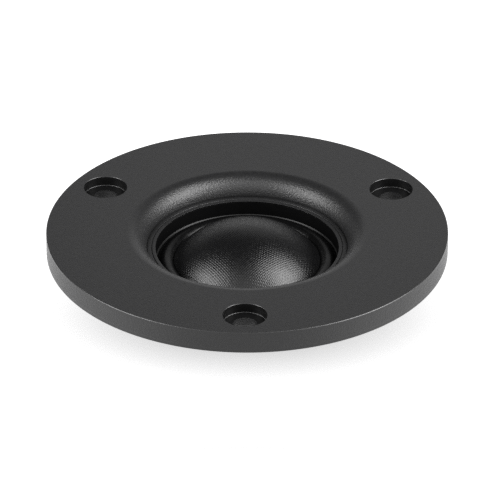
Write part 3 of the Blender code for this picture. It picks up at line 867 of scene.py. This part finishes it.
def cross_recess(name, centre, end_depth, span, width, recess_depth):
    """The cross that a screwdriver fits, as two cutters that narrow towards the front."""
    cutters = []
    for number, turn in enumerate((0.0, 90.0)):
        shape = bmesh.new()
        bmesh.ops.create_cube(shape, size=1.0)
        for vert in shape.verts:
            deep = vert.co.z > 0.0
            x = vert.co.x * span * (0.45 if deep else 1.0)
            y = vert.co.y * width * (0.75 if deep else 1.0)
            z = height(end_depth - recess_depth) if deep else height(end_depth + 0.1 * MM)
            vert.co = (x, y, z)
        bmesh.ops.rotate(shape, verts=shape.verts, matrix=Matrix.Rotation(math.radians(turn), 3, "Z"))
        cutters.append(mesh_object(f"{name}_{number}", shape, (*centre, 0.0)))
    return cutters


def make_screw(node, name, centre, shank, head_height, thread_pitch, material):
    """A pan-head screw seen from behind, with a ridged shank and a cross recess."""
    tip, head_end = depths(node)
    head = (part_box(node)[1].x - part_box(node)[0].x) / 2.0
    seat = head_end - head_height
    outline = [(0.0, tip), (0.6 * shank, tip)]
    ridges = int((seat - tip) / thread_pitch)
    for ridge in range(ridges):
        start = tip + (seat - tip) * ridge / ridges
        outline += [(0.82 * shank, start + 0.15 * thread_pitch), (shank, start + 0.55 * thread_pitch)]
    outline += [(0.85 * shank, seat), (head, seat)]
    crown = arc(0.0, head_end - 1.6 * head, 1.6 * head, -52.0, -90.0, 8)
    outline += [(head, seat + 0.45 * head_height)]
    outline += [(radius, depth) for radius, depth in crown if 0.0 < radius < 0.93 * head]
    outline.append((0.0, head_end))
    screw = turned(name, outline, SMALL_STEPS, centre)
    carve(screw, cross_recess(f"cut_{name}", centre, head_end, 1.25 * head, 0.28 * head, 0.62 * head_height))
    place(screw, "frame", "screw_steel", material, node)


def make_screws():
    black_zinc = metal("black_zinc", (0.075, 0.075, 0.08), 0.34, 0.2 * MM)
    for number, degrees in enumerate(SCREW_ANGLES, start=1):
        centre = on_circle(SCREW_CIRCLE, degrees)
        make_screw(f"motor_screw_{number}", f"clamp_screw_{number}", centre, *CLAMP_SCREW, black_zinc)
    make_screw("terminal_board_screw", "board_screw", (0.0, BOARD_SCREW_Y), *BOARD_SCREW, black_zinc)


def make_damping():
    material = felt()
    outline = ring_profile(VENT_RADIUS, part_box("dome_damping_pad")[1].x, *depths("dome_damping_pad"))
    pad = turned("dome_felt_pad", softened(outline, FELT_EDGE))
    place(pad, "frame", "felt", material, "dome_damping_pad")
    outline = disc_profile(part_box("rear_chamber_felt")[1].x, *depths("rear_chamber_felt"))
    disc = turned("chamber_felt_disc", softened(outline, FELT_EDGE))
    place(disc, "frame", "felt", material, "rear_chamber_felt")


def make_rear_chamber(plastic):
    """The moulded cap behind the motor, with a shallow ring recessed in its base."""
    top, end = depths("rear_chamber")
    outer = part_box("rear_chamber")[1].x
    inner = outer - CHAMBER_WALL
    groove_top = end - CHAMBER_GROOVE_DEPTH
    outline = [
        (0.0, end - CHAMBER_WALL),
        (inner, end - CHAMBER_WALL),
        (inner, top),
        (outer, top),
        (outer, end - CHAMBER_EDGE),
        (outer - CHAMBER_EDGE, end),
        (CHAMBER_GROOVE_OUTER, end),
        (CHAMBER_GROOVE_OUTER, groove_top),
        (CHAMBER_GROOVE_INNER, groove_top),
        (CHAMBER_GROOVE_INNER, end),
        (0.0, end),
    ]
    cap = turned("rear_chamber_cap", softened(outline, 0.15 * MM))
    place(cap, "frame", "chamber_plastic", plastic, "rear_chamber")


def make_board():
    low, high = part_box("terminal_board")
    board = block("terminal_board_sheet", low, high, 0.1 * MM)
    top, end = depths("terminal_board")
    hole = disc_profile(RIVET_HOLE, top - CUT_MARGIN, end + CUT_MARGIN)
    cutters = [
        turned(f"cut_board_{side}", hole, 24, (sign * TERMINAL_X, RIVET_Y)) for side, sign in SIDES.items()
    ]
    hole = disc_profile(BOARD_SCREW_HOLE, top - CUT_MARGIN, end + CUT_MARGIN)
    cutters.append(turned("cut_board_screw", hole, 24, (0.0, BOARD_SCREW_Y)))
    carve(board, cutters)
    place(board, "frame", "phenolic_board", phenolic_board(), "terminal_board")


def bent_outline(outline, radii):
    """The same outline with some corners rounded. Radii are by the corner's number."""
    bent = []
    for i, point in enumerate(outline):
        if i not in radii:
            bent.append(point)
            continue
        corner = Vector(point)
        start = corner + (Vector(outline[i - 1]) - corner).normalized() * radii[i]
        end = corner + (Vector(outline[i + 1]) - corner).normalized() * radii[i]
        bent += rounded_corner(start, corner, end, 6)
    return bent


def sheet_across(name, outline, low_x, high_x, bevel):
    """A bent sheet with this (y, z) outline, from one x to another, with its corners rounded."""
    shape = bmesh.new()
    face = shape.faces.new([shape.verts.new((low_x, y, z)) for y, z in outline])
    grown = bmesh.ops.extrude_face_region(shape, geom=[face])
    moved = [item for item in grown["geom"] if isinstance(item, bmesh.types.BMVert)]
    bmesh.ops.translate(shape, verts=moved, vec=(high_x - low_x, 0.0, 0.0))
    bmesh.ops.recalc_face_normals(shape, faces=shape.faces)
    bevel_corners(shape, bevel, 2)
    return mesh_object(name, shape)


def lock_hole_cutter(x, y, z):
    """The drill for the hole that locks a receptacle on its blade."""
    drill = bmesh.new()
    bmesh.ops.create_cone(
        drill,
        cap_ends=True,
        segments=32,
        radius1=LOCK_HOLE,
        radius2=LOCK_HOLE,
        depth=4.0 * MM,
        matrix=Matrix.Translation((x, y, z)) @ Matrix.Rotation(math.radians(90.0), 4, "X"),
    )
    return mesh_object("cut_lock", drill)


def make_terminal(side, brass):
    """A tab that is bent down at its outer end, with a locking hole in its blade."""
    node = f"terminal_{side}"
    low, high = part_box(node)
    x = SIDES[side] * TERMINAL_X
    blade_y = high.y - TERMINAL_THICKNESS
    underside = high.z - TERMINAL_THICKNESS
    outline = [
        (low.y, high.z),
        (high.y, high.z),
        (high.y, low.z),
        (blade_y, low.z),
        (blade_y, underside),
        (low.y, underside),
    ]
    bent = bent_outline(outline, {1: BEND_OUTSIDE, 4: BEND_INSIDE})
    tab = sheet_across(f"{node}_tab", bent, low.x, high.x, 0.06 * MM)
    top = depths(node)[0]
    rivet_hole = disc_profile(RIVET_HOLE, top - CUT_MARGIN, top + 2.0 * CUT_MARGIN)
    lock = lock_hole_cutter(x, high.y, low.z + LOCK_HOLE_HEIGHT)
    carve(tab, [lock, turned("cut_rivet", rivet_hole, 24, (x, RIVET_Y))])
    place(tab, "frame", "tinned_brass", brass, node)


def make_rivet(side, brass):
    """The round-headed rivet that holds a terminal to the board."""
    node = f"terminal_rivet_{side}"
    top, end = depths(node)
    head = (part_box(node)[1].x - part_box(node)[0].x) / 2.0
    crown, crown_depth = 0.55 * head, 0.03 * MM
    shoulder, shoulder_depth = 0.9 * head, 0.16 * MM
    outline = [
        (0.0, top),
        (crown, top + crown_depth),
        (shoulder, top + shoulder_depth),
        (head, top + RIVET_HEAD_HEIGHT),
        (RIVET_SHANK, top + RIVET_HEAD_HEIGHT),
        (RIVET_SHANK, end - RIVET_HEAD_HEIGHT),
        (head, end - RIVET_HEAD_HEIGHT),
        (shoulder, end - shoulder_depth),
        (crown, end - crown_depth),
        (0.0, end),
    ]
    centre = (SIDES[side] * TERMINAL_X, RIVET_Y)
    rivet = turned(f"{node}_head", softened(outline, 0.05 * MM, 3), SMALL_STEPS, centre)
    place(rivet, "frame", "tinned_brass", brass, node)


def spline_value(before, start, end, after, share):
    """A value between start and end on the smooth curve through four values."""
    slope = end - before
    bend = 2.0 * before - 5.0 * start + 4.0 * end - after
    twist = 3.0 * start - before - 3.0 * end + after
    return 0.5 * (2.0 * start + slope * share + bend * share**2 + twist * share**3)


def smooth_path(points, count):
    """Count points per stretch of the smooth curve through a route."""
    padded = [points[0], *points, points[-1]]
    path = []
    for i in range(len(points) - 1):
        for step in range(count):
            path.append([spline_value(*values, step / count) for values in zip(*padded[i : i + 4])])
    return [*path, points[-1]]


def lead_mesh(name, path):
    """The mesh of a round wire along a path of (x, y, depth)."""
    curve = bpy.data.curves.new(name, "CURVE")
    curve.dimensions = "3D"
    curve.bevel_depth = LEAD_RADIUS
    curve.bevel_resolution = 4
    curve.use_fill_caps = True
    spline = curve.splines.new("POLY")
    spline.points.add(len(path) - 1)
    for point, (x, y, depth) in zip(spline.points, path):
        point.co = (x, y, height(depth), 1.0)
    guide = bpy.data.objects.new("lead_guide", curve)
    bpy.context.scene.collection.objects.link(guide)
    graph = bpy.context.evaluated_depsgraph_get()
    mesh = bpy.data.meshes.new_from_object(guide.evaluated_get(graph))
    mesh.shade_smooth()
    bpy.data.objects.remove(guide)
    return mesh


def make_lead(side, material):
    """A thin insulated wire from the coil to its rivet, which bends as the coil moves."""
    node = f"lead_wire_{side}"
    x = SIDES[side] * TERMINAL_X
    coil_y = math.sqrt(LEAD_COIL_RADIUS**2 - TERMINAL_X**2)
    coil_top = depths("voice_coil_winding")[0]
    rivet_top = depths(f"terminal_rivet_{side}")[0]
    route = [
        (x, coil_y, coil_top - 2.0 * GAP),
        (x, coil_y + 0.05 * MM, LEAD_DEPTH + 0.25 * MM),
        (x, coil_y + 0.45 * MM, LEAD_DEPTH),
        (x, coil_y + 3.5 * MM, LEAD_DEPTH),
        (x, LEAD_RISE_Y, LEAD_DEPTH),
        (x, RIVET_Y - 0.2 * MM, LEAD_DEPTH + 0.5 * MM),
        (x, RIVET_Y, LEAD_DEPTH + 1.5 * MM),
        (x, RIVET_Y, rivet_top - GAP),
    ]
    lead = bpy.data.objects.new(f"{node}_tinsel", lead_mesh(node, smooth_path(route, 10)))
    bpy.context.scene.collection.objects.link(lead)
    coil_end = (x, coil_y, height(LEAD_DEPTH))
    held_end = (x, LEAD_HELD_Y, height(LEAD_DEPTH))
    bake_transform(lead, "diaphragm", "frame", start=coil_end, end=held_end)
    place(lead, "frame", LEAD_SLOTS[side], material, node)


def make_solder(side, brass):
    """The drop of solder that joins a lead to its rivet."""
    rivet_top = depths(f"terminal_rivet_{side}")[0]
    outline = [
        (0.0, rivet_top - 0.5 * MM),
        (0.17 * MM, rivet_top - 0.45 * MM),
        (0.3 * MM, rivet_top - 0.15 * MM),
        (0.55 * MM, rivet_top + 0.02 * MM),
        (0.0, rivet_top + 0.04 * MM),
    ]
    solder = turned(f"solder_{side}", outline, SMALL_STEPS, (SIDES[side] * TERMINAL_X, RIVET_Y))
    solder.data.materials.append(brass)
    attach(solder, "frame")


def make_gasket():
    top, end = depths("baffle_gasket")
    outline = ring_profile(GASKET_INNER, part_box("baffle_gasket")[1].x, top, end)
    ring = turned("foam_gasket", softened(outline, 0.12 * MM, 3), FINE_STEPS)
    hole = disc_profile(GASKET_HOLE, top - CUT_MARGIN, end + CUT_MARGIN)
    carve(ring, hole_cutters("gasket", hole, MOUNT_CIRCLE, MOUNT_ANGLES))
    place(ring, "frame", "gasket_foam", foam(), "baffle_gasket")


# ---------------------------------------------------------------- studio


def make_floor():
    """A white table that also glows: painted light that grows away from the tweeter, to keep its shadow short
    and light. Only in front does the glow stay low.
    """
    shape = bmesh.new()
    bmesh.ops.create_grid(shape, x_segments=1, y_segments=1, size=TABLE_HALF_SIZE)
    floor = mesh_object("studio_floor", shape, (0.0, 0.0, CAD_BOUNDS[0].z - 0.02 * MM))
    finish = Finish("lit_white_table", (0.9, 0.9, 0.9), 0.6, specular=0.2)
    axes = finish.add("ShaderNodeSeparateXYZ")
    finish.join(finish.place, axes.inputs["Vector"])
    in_front = finish.maths("MULTIPLY", axes.outputs["Y"], -1.0)
    squeeze = finish.spread(in_front, TABLE_GLOW_SQUEEZE, 0.0, *TABLE_SQUEEZE_RANGE)
    towards = finish.maths("MULTIPLY", axes.outputs["Y"], squeeze)
    across = finish.maths("MULTIPLY", axes.outputs["X"], axes.outputs["X"])
    along = finish.maths("MULTIPLY", towards, towards)
    distance = finish.maths("SQRT", finish.maths("ADD", across, along))
    glow = finish.spread(distance, TABLE_GLOW, TABLE_SIDE_GLOW, *TABLE_GLOW_RANGE)
    far = finish.spread(in_front, 0.0, TABLE_FAR_GLOW, *TABLE_FAR_RANGE)
    glow = finish.maths("MAXIMUM", glow, far)
    # Painted light: the floor's emission, low close to the tweeter and higher away from it.
    finish.join(glow, finish.shader.inputs["Emission Strength"])
    finish.shader.inputs["Emission Color"].default_value = (1.0, 1.0, 1.0, 1.0)
    finish.material.cycles.emission_sampling = "NONE"
    floor.data.materials.append(finish.material)
    return floor


def softbox(name, azimuth, elevation, distance, width, tall, radiance, unlit):
    """A soft light that faces the dome. Azimuth 0 is behind the tweeter and 90 is to its right."""
    data = bpy.data.lights.new(name, "AREA")
    data.shape = "RECTANGLE"
    data.size = width
    data.size_y = tall
    data.energy = radiance * math.pi * width * tall
    lamp = bpy.data.objects.new(name, data)
    bpy.context.scene.collection.objects.link(lamp)
    turn, lift = math.radians(azimuth), math.radians(elevation)
    away = Vector((math.sin(turn) * math.cos(lift), math.cos(turn) * math.cos(lift), math.sin(lift)))
    lamp.location = Vector((0.0, 0.0, FACE)) + away * distance
    lamp.rotation_mode = "QUATERNION"
    lamp.rotation_quaternion = away.to_track_quat("Z", "Y")
    left_out = bpy.data.collections.new(f"{name}_left_out")
    left_out.objects.link(unlit)
    left_out.collection_objects[0].light_linking.link_state = "EXCLUDE"
    lamp.light_linking.receiver_collection = left_out


def grey_ramp(tree, value, stops):
    """A colour ramp through (position, grey) stops."""
    ramp = tree.nodes.new("ShaderNodeValToRGB")
    tree.links.new(value, ramp.inputs["Fac"])
    while len(ramp.color_ramp.elements) < len(stops):
        ramp.color_ramp.elements.new(0.5)
    for element, (position, grey) in zip(ramp.color_ramp.elements, stops):
        element.position = position
        element.color = (grey, grey, grey, 1.0)
    return ramp.outputs["Color"]


def smooth_range(tree, value, start, end, low, high):
    """Runs smoothly from low to high as the value goes from start to end."""
    node = tree.nodes.new("ShaderNodeMapRange")
    node.interpolation_type = "SMOOTHSTEP"
    for name, number in (("From Min", start), ("From Max", end), ("To Min", low), ("To Max", high)):
        node.inputs[name].default_value = number
    tree.links.new(value, node.inputs["Value"])
    return node.outputs["Result"]


def make_world():
    """Behind the tweeter it is bright near the horizon only. On the camera's side it is brightest high up."""
    world = bpy.data.worlds.new("studio")
    bpy.context.scene.world = world
    world.use_nodes = True
    tree = world.node_tree
    direction = tree.nodes.new("ShaderNodeTexCoord")
    axes = tree.nodes.new("ShaderNodeSeparateXYZ")
    tree.links.new(direction.outputs["Generated"], axes.inputs["Vector"])
    back = grey_ramp(tree, axes.outputs["Z"], BACK_STOPS)
    front = grey_ramp(tree, axes.outputs["Z"], FRONT_STOPS)
    aside = tree.nodes.new("ShaderNodeMath")
    aside.operation = "ABSOLUTE"
    tree.links.new(axes.outputs["X"], aside.inputs[0])
    narrow = smooth_range(tree, aside.outputs[0], *BACK_SIDE_RANGE, 1.0, BACK_SIDE_SHARE)
    dimmed = tree.nodes.new("ShaderNodeVectorMath")
    dimmed.operation = "SCALE"
    tree.links.new(back, dimmed.inputs[0])
    tree.links.new(narrow, dimmed.inputs["Scale"])
    facing = smooth_range(tree, axes.outputs["Y"], *FACING_RANGE, 0.0, 1.0)
    mix = tree.nodes.new("ShaderNodeMix")
    mix.data_type = "RGBA"
    tree.links.new(facing, mix.inputs["Factor"])
    colours = [socket for socket in mix.inputs if socket.type == "RGBA"]
    tree.links.new(dimmed.outputs["Vector"], colours[0])
    tree.links.new(front, colours[1])
    mixed = [socket for socket in mix.outputs if socket.type == "RGBA"]
    tree.links.new(mixed[0], tree.nodes["Background"].inputs["Color"])
    tree.nodes["Background"].inputs["Strength"].default_value = WORLD_STRENGTH


def make_camera():
    data = bpy.data.cameras.new("camera")
    data.lens = CAMERA_LENS_MM
    data.clip_start = 0.05
    data.clip_end = 20.0
    camera = bpy.data.objects.new("camera", data)
    bpy.context.scene.collection.objects.link(camera)
    bpy.context.scene.camera = camera
    level = Vector((math.sin(CAMERA_AZIMUTH), -math.cos(CAMERA_AZIMUTH), 0.0))
    away = level * math.cos(CAMERA_ELEVATION) + Vector((0.0, 0.0, math.sin(CAMERA_ELEVATION)))
    right = Vector((math.cos(CAMERA_AZIMUTH), math.sin(CAMERA_AZIMUTH), 0.0))
    up = away.cross(right)
    middle = Vector((0.0, 0.0, FACE))
    camera.location = middle + away * CAMERA_DISTANCE
    target = middle + right * AIM_RIGHT - up * AIM_DOWN
    camera.rotation_mode = "QUATERNION"
    camera.rotation_quaternion = (target - camera.location).to_track_quat("-Z", "Y")


def make_studio():
    make_world()
    floor = make_floor()
    for name, sizes in SOFTBOXES.items():
        softbox(name, *sizes, floor)
    # The denoiser would wipe out the weave and the bead-blasted grain.
    bpy.context.scene.cycles.use_denoising = False
    bpy.context.scene.view_settings.view_transform = "Standard"


def make_tweeter():
    copper = metal("enamelled_copper", (0.72, 0.33, 0.18), 0.3, 0.4 * MM)
    steel = metal("plated_steel", (0.45, 0.45, 0.47), 0.3, 0.25 * MM)
    plastic = dull_plastic("black_nylon", (0.016, 0.016, 0.017), 0.4)
    brass = tinned_brass()
    make_faceplate()
    make_throat_ring()
    make_surround()
    make_glue_bead()
    make_dome()
    make_voice_coil(copper)
    make_carrier(plastic)
    make_magnet(steel)
    make_copper_cap(copper)
    make_cup()
    make_bracket(plastic)
    make_screws()
    make_damping()
    make_rear_chamber(plastic)
    make_board()
    for side in SIDES:
        make_terminal(side, brass)
        make_rivet(side, brass)
        make_lead(side, insulation(f"insulation_{side}", LEAD_COLOURS[side]))
        make_solder(side, brass)
    make_gasket()


make_camera()
make_studio()
make_tweeter()
